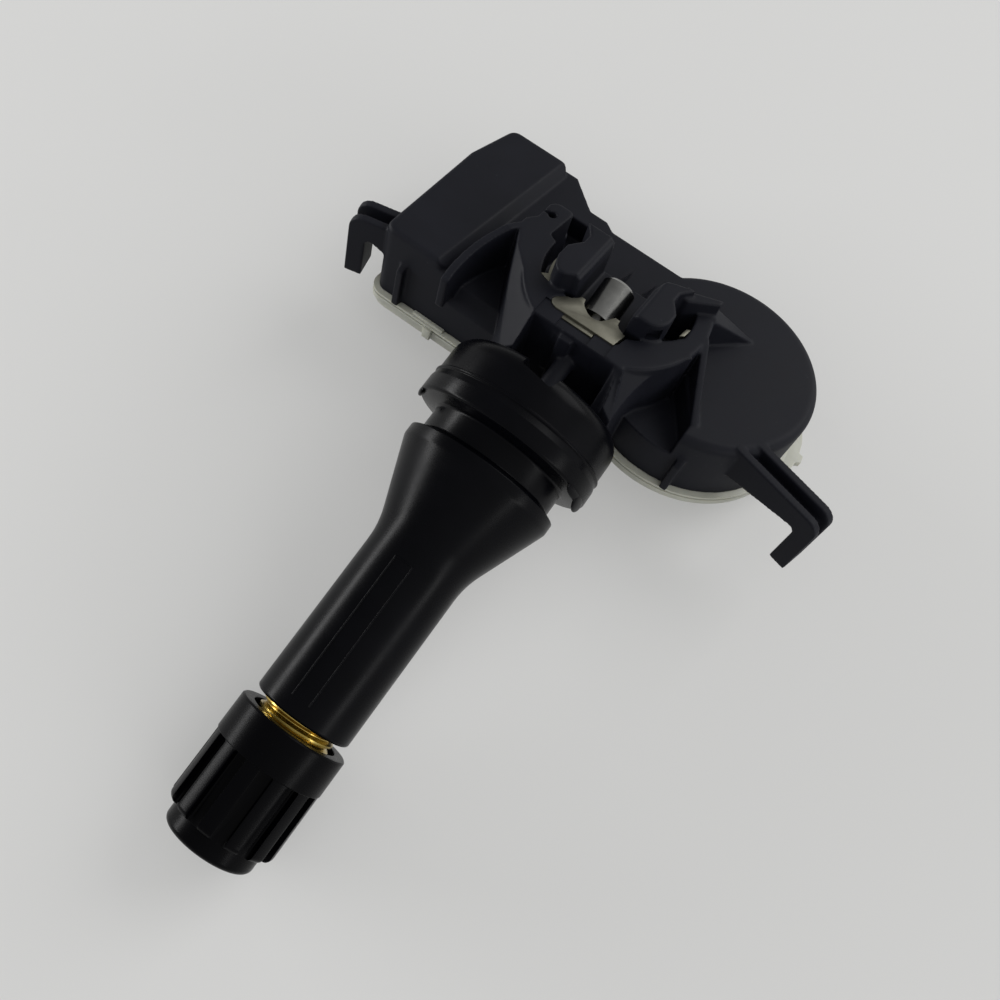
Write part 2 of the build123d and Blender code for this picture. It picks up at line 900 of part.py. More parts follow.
def fin(x, y_wall, top):
    """Thin upright fin on a front wall, sloped at its top."""
    y_front = y_wall - fin_proud
    points = [
        (y_wall + wall / 2, wall_foot),
        (y_front, wall_foot),
        (y_front, top - fin_proud),
        (y_wall + wall / 2, top),
    ]
    return side_prism(points, x - fin_thick / 2, x + fin_thick / 2)


def cup_wall_y(x):
    """Front of the cup's wall at a place along X."""
    return cup_y - sqrt(cup_radius ** 2 - (x - cup_x) ** 2)


def hollows():
    """Room for the electronics, open to the cover, with a wall left round the pocket."""
    low = wall_foot - overrun
    pocket_wall = prism(pocket_face(wall), pocket_floor - roof, box_top)
    room = prism(cup_face(cell_radius + cell_gap), low, deck_top - roof) - pocket_wall
    room += prism(offset(box_face(), amount=-wall), low, box_top - roof)
    return room + prism(offset(deck_face(), amount=-wall), low, deck_ceiling)


def housing():
    box = prism(box_face(), wall_foot, box_top)
    box = fillet(box.edges().group_by(Axis.Z)[-1], box_edge)
    along = Vector(box_right_back - box_right_front, box_back - front)
    outward = Vector(along.Y, -along.X) / along.length
    bevel = Plane(origin=(box_right_front, front, box_top - box_bevel), z_dir=outward + Vector(0, 0, 1))
    box = split(box, bisect_by=bevel, keep=Keep.BOTTOM)
    cup = prism(cup_face(), wall_foot, deck_top)
    cup = fillet(cup.edges().group_by(Axis.Z)[-1], cup_edge)
    body = box + cup + prism(deck_face(), wall_foot, deck_top)
    body -= prism(pocket_face(), pocket_floor, collar_top) + scoop()
    collar = prism(collar_face(), wall_foot, collar_top)
    body += fillet(collar.edges().group_by(Axis.Z)[-1], collar_edge)
    body += cheek(-1, cheek_root, cheek_left, -cheek_bow_left)
    body += cheek(1, collar_radius_outer, cheek_right, -cheek_bow_right) + skirt()
    body += wing() + cup_web() + buttress()
    # The well, the ledge for the plate and the way through for the foot
    body -= prism(well_face(plate_front + plate_ledge) - foot_deck_face(), well_floor, claw_top)
    body -= prism(well_face(plate_front + plate_ledge), deck_top, claw_top)
    body -= prism(well_face(plate_front), collar_top - plate_thick, claw_top)
    body -= prism(pit_face(), well_floor, claw_top)
    body += claws() + stop_ribs() + gusset()
    body -= valve * rod(foot_radius + 2 * claw_clearance, -foot_end - foot_bevel, 0)
    body -= valve * rod(lip_radius + 2 * seat_gap, -base_back - seat_gap, 0) - gusset()
    body += arm(left_elbow, 1, left_reach()) + arm(right_elbow, -1, right_reach())
    body += fin(box_left + box_fin, front, box_fin_top)
    body += fin(cup_x + cup_fin, cup_wall_y(cup_x + cup_fin), cup_fin_top)
    body -= hollows()
    slit = block(pad_left - port_x, 0, -port_slit / 2, port_slit / 2, deck_top, collar_top + overrun)
    port = rod(port_radius, deck_ceiling - overrun, collar_top + overrun)
    return body - Pos(port_x, port_y) * (port + slit)


def retaining_plate():
    """Stamped plate in the well's front, notched round the foot and scalloped round the claws."""
    outline = flat([
        (plate_left, plate_front),
        (plate_right, plate_front),
        (plate_right, plate_front + plate_short),
        (foot_radius, plate_front + plate_middle),
        (-foot_radius, plate_front + plate_middle),
        (plate_left, plate_front + plate_long),
    ])
    right = offset(claw_face(), amount=plate_gap)
    room = Pos(well_x, well_y) * Circle(well_radius - plate_gap)
    notch = Pos(0, plate_front + plate_notch) * Circle(foot_radius + plate_gap + claw_clearance)
    face = (outline & room) - notch - right - mirror(right, Plane.YZ)
    return prism(face, collar_top - plate_thick, collar_top)


# Cover and electronics

def post_places():
    return [
        (box_left + post_inset, front + post_inset),
        (box_left_back + post_inset, box_back - post_inset),
        (post_front, front + post_inset),
        (post_back, deck_back - post_inset),
    ]


def bottom_cover():
    face = base_face()
    lower = prism(offset(face, amount=cover_lip), cover_low, wall_foot - cover_flange - cover_groove)
    middle = prism(offset(face, amount=cover_lip - cover_groove_deep), cover_low, wall_foot)
    upper = prism(offset(face, amount=cover_lip), wall_foot - cover_flange, wall_foot)
    cover = lower + middle + upper
    for x, y in post_places():
        cover += Pos(x, y) * rod(post_radius, wall_foot, board_low)
    return cover


def circuit_board():
    room = wall + board_gap
    face = offset(box_face(), amount=-room) + offset(deck_face(), amount=-room)
    return prism(face - cup_face(cell_radius + 2 * cell_gap), board_low, board_top)


def battery_cell():
    can = rod(cell_radius, cell_low, cell_top)
    can = chamfer(can.edges().group_by(Axis.Z)[0], cell_bevel)
    low = cell_top - cell_step
    step = rod(cell_radius + overrun, low, cell_top + overrun)
    step -= rod(cell_radius - cell_step_width, low, cell_top + overrun)
    return Pos(cup_x, cup_y) * (can - step)


def battery_tab_top():
    half = tab_width / 2
    strip = block(tab_end, cup_x + tab_reach, cup_y - half, cup_y + half, cell_top, cell_top + tab_thick)
    leg = block(tab_end - tab_thick, tab_end, cup_y - half, cup_y + half, board_top, cell_top + tab_thick)
    return strip + leg


def battery_tab_bottom():
    half = tab_width / 2
    strip = block(tab_end, cup_x + tab_reach, cup_y - half, cup_y + half, wall_foot, cell_low)
    leg = block(tab_end - tab_thick, tab_end, cup_y - half, cup_y + half, wall_foot, board_low)
    return strip + leg


def sensor_chip():
    half = chip_size / 2
    chip = block(-half, half, -half, half, board_top, board_top + chip_thick)
    return Pos(port_x, port_y) * chip


def pressure_port_seal():
    low = board_top + chip_thick
    ring = rod(3 * port_radius, low, deck_ceiling) - rod(port_radius + claw_clearance, low, deck_ceiling)
    return Pos(port_x, port_y) * ring


def crystal():
    x = (box_left + box_right_back) / 2
    y = box_back - wall - board_gap - crystal_width
    can = Box(crystal_length, crystal_width, crystal_thick, align=(Align.CENTER, Align.CENTER, Align.MIN))
    can = fillet(can.edges().filter_by(Axis.Z), crystal_round)
    return Pos(x, y, board_top) * can


def capacitors():
    chip = block(0, chip_cap_length, 0, chip_cap_width, board_top, board_top + chip_cap_width)
    places = [chip_cap_front + k * chip_cap_pitch for k in range(chip_cap_count)]
    return Compound([Pos(box_right_front + chip_cap_inset, y, 0) * chip for y in places])


def lf_coil_core():
    half = coil_width / 2
    middle = board_top + coil_height / 2
    ends = coil_front + coil_length
    core = block(-half, half, coil_front, coil_front + coil_flange, board_top, board_top + coil_height)
    core += block(-half, half, ends - coil_flange, ends, board_top, board_top + coil_height)
    bar = coil_bar / 2
    core += block(-bar, bar, coil_front, ends, middle - bar, middle + bar)
    return Pos(coil_x, 0) * core


def lf_coil_winding():
    middle = board_top + coil_height / 2
    low = coil_front + coil_flange
    high = coil_front + coil_length - coil_flange
    bar = coil_bar / 2
    full = bar + coil_wire
    turns = block(-full, full, low, high, middle - full, middle + full)
    turns = fillet(turns.edges().filter_by(Axis.Y), coil_round_share * coil_width)
    turns -= block(-bar, bar, low - overrun, high + overrun, middle - bar, middle + bar)
    return Pos(coil_x, 0) * turns


def rf_antenna():
    high = board_top + antenna_height
    rear = antenna_front + antenna_thick
    strip = block(antenna_left, antenna_right, antenna_front, rear, board_top, high)
    inner = antenna_right - antenna_thick
    return strip + block(inner, antenna_right, antenna_front, antenna_back, board_top, high)


pieces = {
    "housing": housing(),
    "bottom_cover": bottom_cover(),
    "retaining_plate": retaining_plate(),
    "circuit_board": circuit_board(),
    "sensor_chip": sensor_chip(),
    "pressure_port_seal": pressure_port_seal(),
    "crystal": crystal(),
    "capacitors": capacitors(),
    "lf_coil_core": lf_coil_core(),
    "lf_coil_winding": lf_coil_winding(),
    "rf_antenna": rf_antenna(),
    "battery_cell": battery_cell(),
    "battery_tab_top": battery_tab_top(),
    "battery_tab_bottom": battery_tab_bottom(),
    "rubber_valve_body": rubber_valve_body(),
    "brass_stem": brass_stem(),
    "valve_foot": valve_foot(),
    "core_barrel": core_barrel(),
    "core_pin": core_pin(),
    "core_spring": core_spring(),
    "core_cup_seal": core_cup_seal(),
    "core_gasket": core_gasket(),
    "dust_cap": dust_cap(),
    "cap_gasket": cap_gasket(),
}

# Lay it down: the floor touches the rounded end of the cap's lowest rib and the cover's back edge
tilt = radians(valve_tilt)
round_s = cap_rib_end - cap_rib_round
round_r = cap_rib_radius - cap_rib_round
cap_y = -round_s * cos(tilt) + round_r * sin(tilt)
cap_z = -round_s * sin(tilt) - round_r * cos(tilt)
edge_y = box_back + cover_lip
edge_z = cover_low
span = hypot(edge_y - cap_y, edge_z - cap_z)
pitch = degrees(atan2(edge_z - cap_z, edge_y - cap_y) + asin(cap_rib_round / span))
lying = Rot(-pitch, 0, 0)
laid = {name: lying * shape for name, shape in pieces.items()}
whole = Compound(list(laid.values())).bounding_box()
place = Pos(-(whole.min.X + whole.max.X) / 2, -(whole.min.Y + whole.max.Y) / 2, -whole.min.Z)

os.makedirs("parts", exist_ok=True)
for name, shape in laid.items():
    export_step(place * shape, f"parts/{name}.step")

origin = place * (lying * Pos(0, 0, 0))
print("pitch", round(pitch, 3), "origin", origin.position)
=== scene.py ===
import json
from math import acos, cos, pi, radians, sin, tan
import bpy
from mathutils import Matrix, Vector


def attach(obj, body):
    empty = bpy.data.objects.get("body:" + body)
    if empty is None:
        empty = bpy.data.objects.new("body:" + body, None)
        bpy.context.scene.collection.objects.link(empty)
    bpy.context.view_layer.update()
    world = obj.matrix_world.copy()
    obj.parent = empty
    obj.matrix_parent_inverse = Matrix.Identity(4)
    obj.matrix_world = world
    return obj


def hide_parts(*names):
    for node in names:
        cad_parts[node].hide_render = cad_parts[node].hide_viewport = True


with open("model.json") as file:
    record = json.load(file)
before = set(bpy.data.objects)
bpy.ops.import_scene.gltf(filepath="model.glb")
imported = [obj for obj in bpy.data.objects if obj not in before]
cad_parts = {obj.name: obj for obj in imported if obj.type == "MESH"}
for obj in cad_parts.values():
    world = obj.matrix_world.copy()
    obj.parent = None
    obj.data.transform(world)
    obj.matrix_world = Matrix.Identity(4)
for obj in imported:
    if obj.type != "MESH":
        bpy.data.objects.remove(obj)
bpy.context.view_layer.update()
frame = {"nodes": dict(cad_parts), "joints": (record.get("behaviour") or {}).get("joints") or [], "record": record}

mm = 0.001
nodes = frame["nodes"]
joints = {joint["name"]: joint for joint in frame["joints"]}
print("frame loaded, nodes:", len(nodes))

# Places: the valve frame has its Z along the stem towards the cap, its Y upwards and its origin in the
# rim seat. The housing frame shares that origin, with its Z square to the printed face. Settings are in mm
# and degrees, apart from the studio's and the values of a shader's own sockets
valve = {
    "tilt": 22.9,        # between the stem and the housing's base
    "capOpen": 31.5,     # open rim of the cap, from the rim seat
}


def frames():
    along = Vector(joints["cap_turn"]["axis"]).normalized()
    across = Vector((1, 0, 0))
    up = along.cross(across)
    origin = Vector(joints["cap_turn"]["pos_m"]) - along * valve["capOpen"] * mm
    tilt = radians(valve["tilt"])
    back = -along * cos(tilt) - up * sin(tilt)
    top = up * cos(tilt) - along * sin(tilt)

    def matrix(x, y, z):
        turned = Matrix((x, y, z)).transposed().to_4x4()
        return Matrix.Translation(origin) @ turned
    return matrix(across, up, along), matrix(across, back, top)


valveFrame, houseFrame = frames()


# Shader maths: a Wire is a socket, and + and * on Wires add Math nodes
class Wire:
    def __init__(self, tree, socket=None):
        self.tree = tree
        self.socket = socket

    def node(self, kind, settings, inputs, output=0):
        made = self.tree.nodes.new("ShaderNode" + kind)
        for key, value in settings.items():
            if key == "stops":
                fillRamp(made.color_ramp, value)
            else:
                setattr(made, key, value)
        for key, value in inputs.items():
            if isinstance(value, Wire):
                self.tree.links.new(value.socket, made.inputs[key])
            else:
                made.inputs[key].default_value = value
        return Wire(self.tree, made.outputs[output])

    def math(self, operation, first, second):
        return self.node("Math", {"operation": operation}, {0: first, 1: second})

    def __add__(self, other):
        return self.math("ADD", self, other)

    def __radd__(self, other):
        return self.math("ADD", other, self)

    def __mul__(self, other):
        return self.math("MULTIPLY", self, other)

    def __rmul__(self, other):
        return self.math("MULTIPLY", other, self)


# A new ramp has two stops, and every ramp here uses both
def fillRamp(ramp, stops):
    for element, (place, value) in zip(ramp.elements, stops):
        element.position = place
        element.color = (value, value, value, 1)


# Sockets of a Mix node that blends colours
mixColor = {"factor": 0, "first": 6, "second": 7, "result": 2}


# One material: a shader whose constants sit on its own sockets, and a Wire to build the rest from
class Finish:
    fed = {"color": "Base Color", "rough": "Roughness", "normal": "Normal", "glow": "Emission Color"}

    def __init__(self, name, constants):
        self.material = bpy.data.materials.new(name)
        self.material.use_nodes = True
        tree = self.material.node_tree
        self.shader = tree.nodes["Principled BSDF"]
        self.wire = Wire(tree)
        for key, value in constants.items():
            self.shader.inputs[key].default_value = value
        self.place = self.wire.node("TexCoord", {}, {}, "Object")

    def noise(self, grain, detail, roughness):
        inputs = {"Vector": self.place, "Scale": 1 / (grain * mm), "Detail": detail, "Roughness": roughness}
        return self.wire.node("TexNoise", {}, inputs, "Fac")

    def ray(self, kind):
        return self.wire.node("LightPath", {}, {}, "Is " + kind + " Ray")

    def ramp(self, value, low, high):
        return self.wire.node("ValToRGB", {"stops": [(low, 0.0), (high, 1.0)]}, {"Fac": value}, "Color")

    def blend(self, factor, first, second):
        inputs = {mixColor["factor"]: factor}
        for side, color in (("first", first), ("second", second)):
            inputs[mixColor[side]] = color if isinstance(color, Wire) else (*color, 1)
        return self.wire.node("Mix", {"data_type": "RGBA"}, inputs, mixColor["result"])

    def bump(self, height, depth, strength):
        return self.wire.node("Bump", {}, {"Height": height, "Distance": depth * mm, "Strength": strength})

    def feed(self, **links):
        for key, value in links.items():
            self.wire.tree.links.new(value.socket, self.shader.inputs[self.fed[key]])
        return self.material


# Moulded finishes: a colour with a fine grain, under layers of clouds, dust or scuffs
mouldedLooks = {
    # grain: size, detail and roughness of the noise; rough: the least, and what the grain adds;
    # bump: depth and strength; layers: noise, range in which it shows, share, colour and added roughness
    "housing_plastic": {
        "name": "housingPlastic",
        "shader": {"Specular IOR Level": 0.14},
        "color": (0.0056, 0.0061, 0.0098),
        "grain": (0.12, 4.0, 0.6),
        "rough": (0.46, 0.12),
        "bump": (0.012, 0.8),
        "layers": [
            ((6, 4.0, 0.6), (0.35, 0.7), 1.0, (0.0080, 0.0086, 0.0132), 0.08),
            ((0.5, 6.0, 0.7), (0.68, 0.8), 0.6, (0.11, 0.11, 0.115), 0.0),
        ],
    },
    "cover_plastic": {
        "name": "coverPlastic",
        "shader": {"Subsurface Weight": 0.15, "Subsurface Radius": (0.002, 0.0018, 0.0012),
                   "Subsurface Scale": 0.4, "Specular IOR Level": 0.45},
        "color": (0.40, 0.405, 0.35),
        "grain": (0.2, 4.0, 0.6),
        "rough": (0.36, 0.1),
        "bump": (0.006, 0.5),
        "layers": [((4, 4.0, 0.6), (0.3, 0.75), 1.0, (0.50, 0.505, 0.44), 0.0)],
    },
    "valve_rubber": {
        "name": "valveRubber",
        "shader": {"Specular IOR Level": 0.07},
        "color": (0.0008, 0.0009, 0.0016),
        "grain": (0.2, 4.0, 0.65),
        "rough": (0.19, 0.12),
        "bump": (0.006, 0.3),
        "layers": [
            ((5, 3.0, 0.55), (0.35, 0.7), 1.0, (0.0014, 0.0015, 0.0026), 0.08),
            ((0.6, 8.0, 0.75), (0.71, 0.82), 0.6, (0.09, 0.09, 0.095), 0.0),
        ],
    },
    "cap_plastic": {
        "name": "capPlastic",
        "shader": {"Specular IOR Level": 0.055},
        "color": (0.0006, 0.0006, 0.0011),
        "grain": (0.15, 4.0, 0.6),
        "rough": (0.22, 0.1),
        "bump": (0.008, 0.6),
        "layers": [((0.7, 6.0, 0.7), (0.64, 0.8), 0.4, (0.010, 0.010, 0.012), 0.15)],
    },
}


def moulded(look):
    finish = Finish(look["name"], look["shader"])
    grain = finish.noise(*look["grain"])
    least, added = look["rough"]
    rough = least + added * grain
    color = look["color"]
    for noise, limits, share, tint, dull in look["layers"]:
        patch = finish.ramp(finish.noise(*noise), *limits)
        color = finish.blend(share * patch, color, tint)
        if dull:
            rough = rough + dull * patch
    return finish.feed(color=color, rough=rough, normal=finish.bump(grain, *look["bump"]))


# Metals: a dark and a bright tone, mixed by clouds and fine streaks
metalLook = {
    "streak": (5.0, 0.65),         # detail and roughness of the noise
    "cloud": (1.5, 3.0, 0.5),
    "cloudRange": (0.35, 0.7),
    "shares": (0.6, 0.4),          # of the clouds and of the streaks
    "rough": 0.16,                 # what the streaks add
    "bump": (0.004, 0.6),
}


def metal(name, dark, bright, rough, grain=0.25):
    finish = Finish(name, {"Metallic": 1.0})
    streak = finish.noise(grain, *metalLook["streak"])
    cloud = finish.ramp(finish.noise(*metalLook["cloud"]), *metalLook["cloudRange"])
    ofCloud, ofStreak = metalLook["shares"]
    color = finish.blend(ofCloud * cloud + ofStreak * streak, dark, bright)
    normal = finish.bump(streak, *metalLook["bump"])
    return finish.feed(color=color, rough=rough + metalLook["rough"] * streak, normal=normal)


# Small inner parts: two tones in speckles
speckledLook = {
    "speckle": (4.0, 0.6),         # detail and roughness of the noise
    "range": (0.35, 0.65),
    "rough": 0.1,                  # what the speckles add
    "bump": (0.005, 0.5),
}


def speckled(name, dark, bright, rough, grain):
    finish = Finish(name, {})
    speckle = finish.noise(grain, *speckledLook["speckle"])
    color = finish.blend(finish.ramp(speckle, *speckledLook["range"]), dark, bright)
    normal = finish.bump(speckle, *speckledLook["bump"])
    return finish.feed(color=color, rough=rough + speckledLook["rough"] * speckle, normal=normal)


materials = {slot: moulded(look) for slot, look in mouldedLooks.items()}
materials.update({
    # name, dark tone, bright tone, least roughness, size of the grain
    "stem_brass": metal("stemBrass", (0.38, 0.27, 0.06), (0.58, 0.44, 0.13), 0.16, 1.2),
    "foot_steel": metal("footSteel", (0.17, 0.17, 0.165), (0.26, 0.26, 0.25), 0.16, 1.0),
    "plate_steel": metal("plateSteel", (0.132, 0.128, 0.102), (0.21, 0.204, 0.168), 0.4),
    "can_steel": metal("canSteel", (0.5, 0.5, 0.49), (0.68, 0.68, 0.66), 0.28),
    "copper": metal("copper", (0.5, 0.2, 0.08), (0.72, 0.34, 0.16), 0.3),
    "core_brass": metal("coreBrass", (0.46, 0.34, 0.1), (0.7, 0.55, 0.22), 0.25),
    "spring_steel": metal("springSteel", (0.4, 0.4, 0.4), (0.6, 0.6, 0.6), 0.25),
    "ferrite": speckled("ferrite", (0.03, 0.03, 0.032), (0.06, 0.06, 0.062), 0.55, 0.2),
    "board_laminate": speckled("boardLaminate", (0.01, 0.09, 0.035), (0.02, 0.16, 0.07), 0.35, 0.4),
    "chip_plastic": speckled("chipPlastic", (0.012, 0.012, 0.013), (0.022, 0.022, 0.024), 0.5, 0.15),
    "ceramic": speckled("ceramic", (0.34, 0.22, 0.12), (0.46, 0.32, 0.19), 0.3, 0.2),
    "seal_rubber": speckled("sealRubber", (0.012, 0.012, 0.012), (0.03, 0.03, 0.03), 0.5, 0.2),
})
slotOf = {part["node"]: part["material_slot"] for part in frame["record"]["subparts"]}
bodyOf = {node: body for body, members in frame["record"]["behaviour"]["bodies"].items() for node in members}
for name, node in nodes.items():
    node.data.materials.clear()
    node.data.materials.append(materials[slotOf[name]])
print("finishes on the nodes:", len(materials))


# Modelling helpers
shaping = {
    "merge": 0.001,        # points closer than this become one
    "cadMerge": 0.002,     # the same in a CAD node's mesh
    "cadFlat": 0.5,        # CAD facets that meet flatter than this become one face
    "sharp": 40,           # edges sharper than this are bevelled
    "edgeSteps": 2,        # segments of such a bevel
    "cubeSteps": 3,        # segments of a cube's rounded edges
    "rodSides": 48,
    "past": 1.0,           # how far a bore reaches past the end that it opens
}


def only(piece):
    bpy.ops.object.select_all(action="DESELECT")
    piece.select_set(True)
    bpy.context.view_layer.objects.active = piece


def editing(piece):
    only(piece)
    bpy.ops.object.mode_set(mode="EDIT")
    bpy.ops.mesh.select_all(action="SELECT")


def done():
    bpy.ops.object.mode_set(mode="OBJECT")


def modified(piece, kind, **settings):
    only(piece)
    modifier = piece.modifiers.new(kind, kind)
    for key, value in settings.items():
        setattr(modifier, key, value)
    bpy.ops.object.modifier_apply(modifier=modifier.name)


def bevelled(piece, width):
    modified(piece, "BEVEL", width=width * mm, segments=shaping["edgeSteps"], limit_method="ANGLE",
             angle_limit=radians(shaping["sharp"]))


def carved(piece, tool, operation="DIFFERENCE", solver="EXACT"):
    modified(piece, "BOOLEAN", operation=operation, object=tool, solver=solver)
    bpy.data.objects.remove(tool)


def cleaned(piece):
    editing(piece)
    bpy.ops.mesh.remove_doubles(threshold=shaping["merge"] * mm)
    bpy.ops.mesh.normals_make_consistent(inside=False)
    done()


def shaded(piece, angle):
    only(piece)
    bpy.ops.object.shade_smooth_by_angle(angle=radians(angle))


def placed(piece, matrix):
    bpy.context.view_layer.update()
    piece.matrix_world = matrix @ piece.matrix_world
    only(piece)
    bpy.ops.object.transform_apply(location=True, rotation=True, scale=True)


def joined(piece, others):
    only(piece)
    for other in others:
        other.select_set(True)
    bpy.ops.object.join()


# Puts a piece into the frame: its finish, its body and the CAD node it stands for
def settled(piece, node):
    piece.data.materials.clear()
    piece.data.materials.append(materials[slotOf[node]])
    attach(piece, bodyOf[node])
    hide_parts(node)


# A line of points, extruded one after the other from a plane merged to its middle
def chain(name, points):
    bpy.ops.object.select_all(action="DESELECT")
    bpy.ops.mesh.primitive_plane_add(size=mm)
    piece = bpy.context.object
    piece.name = name
    editing(piece)
    bpy.ops.mesh.merge(type="CENTER")
    last = Vector((0, 0, 0))
    for count, point in enumerate(points):
        place = Vector(point) * mm
        if count:
            bpy.ops.mesh.extrude_region_move(TRANSFORM_OT_translate={"value": place - last})
        else:
            bpy.ops.transform.translate(value=place - last)
        last = place
    done()
    return piece


# Corners (radius, along, round): each round one becomes an arc
def softened(corners, steps):
    points = []
    count = len(corners)
    for k, (x, y, bend) in enumerate(corners):
        here = Vector((x, y))
        if not bend:
            points.append(here)
            continue
        before = (Vector(corners[k - 1][:2]) - here).normalized()
        after = (Vector(corners[(k + 1) % count][:2]) - here).normalized()
        half = acos(max(-1.0, min(1.0, before.dot(after)))) / 2
        middle = here + (before + after).normalized() * bend / sin(half)
        first = here + before * bend / tan(half) - middle
        last = here + after * bend / tan(half) - middle
        sweep = pi - 2 * half
        for step in range(steps + 1):
            share = step / steps
            one = sin((1 - share) * sweep) / sin(sweep)
            two = sin(share * sweep) / sin(sweep)
            points.append(middle + first * one + last * two)
    return points


# A turned piece about the valve's axis, from a closed outline
def turned(name, look):
    points = [(point.x, 0, point.y) for point in softened(look["outline"], look["arcSteps"])]
    piece = chain(name, points + points[:1])
    editing(piece)
    bpy.ops.mesh.spin(steps=look["segments"], angle=2 * pi, center=(0, 0, 0), axis=(0, 0, 1))
    done()
    cleaned(piece)
    return piece


def raised(outline, height):
    return [(x, y, height) for x, y in outline]


# A flat outline filled with a face and left in edit mode
def filled(name, points):
    piece = chain(name, points + points[:1])
    cleaned(piece)
    editing(piece)
    bpy.ops.mesh.edge_face_add()
    return piece


# A flat outline pushed up into a solid
def slab(name, outline, low, high, bevel=0.0):
    piece = filled(name, raised(outline, low))
    bpy.ops.mesh.extrude_region_move(TRANSFORM_OT_translate={"value": Vector((0, 0, high - low)) * mm})
    done()
    cleaned(piece)
    if bevel:
        bevelled(piece, bevel)
    return piece


# A flat outline drawn out to a tip
def spike(name, points, tip):
    piece = filled(name, points)
    middle = sum((Vector(point) for point in points), Vector((0, 0, 0))) / len(points)
    bpy.ops.mesh.extrude_region_move(TRANSFORM_OT_translate={"value": (Vector(tip) - middle) * mm})
    bpy.ops.mesh.merge(type="CENTER")
    done()
    cleaned(piece)
    return piece


def cube(name, low, high, bevel=0.0, steps=shaping["cubeSteps"]):
    size = [b - a for a, b in zip(low, high)]
    middle = [(a + b) / 2 * mm for a, b in zip(low, high)]
    bpy.ops.object.select_all(action="DESELECT")
    bpy.ops.mesh.primitive_cube_add(size=mm, location=middle)
    piece = bpy.context.object
    piece.name = name
    piece.scale = size
    placed(piece, Matrix.Identity(4))
    if bevel:
        modified(piece, "BEVEL", width=bevel * mm, segments=steps, limit_method="NONE")
    return piece


def rod(name, radius, low, high, at=(0, 0), sides=shaping["rodSides"]):
    bpy.ops.object.select_all(action="DESELECT")
    bpy.ops.mesh.primitive_cylinder_add(vertices=sides, radius=radius * mm, depth=(high - low) * mm,
                                        location=(at[0] * mm, at[1] * mm, (low + high) / 2 * mm))
    piece = bpy.context.object
    piece.name = name
    placed(piece, Matrix.Identity(4))
    return piece


# A CAD node's form as one clean mesh
def formOf(node):
    piece = bpy.data.objects.new(node + "Form", nodes[node].data.copy())
    bpy.context.scene.collection.objects.link(piece)
    only(piece)
    bpy.ops.mesh.customdata_custom_splitnormals_clear()
    editing(piece)
    bpy.ops.mesh.remove_doubles(threshold=shaping["cadMerge"] * mm)
    bpy.ops.mesh.dissolve_limited(angle_limit=radians(shaping["cadFlat"]))
    bpy.ops.mesh.normals_make_consistent(inside=False)
    done()
    return piece


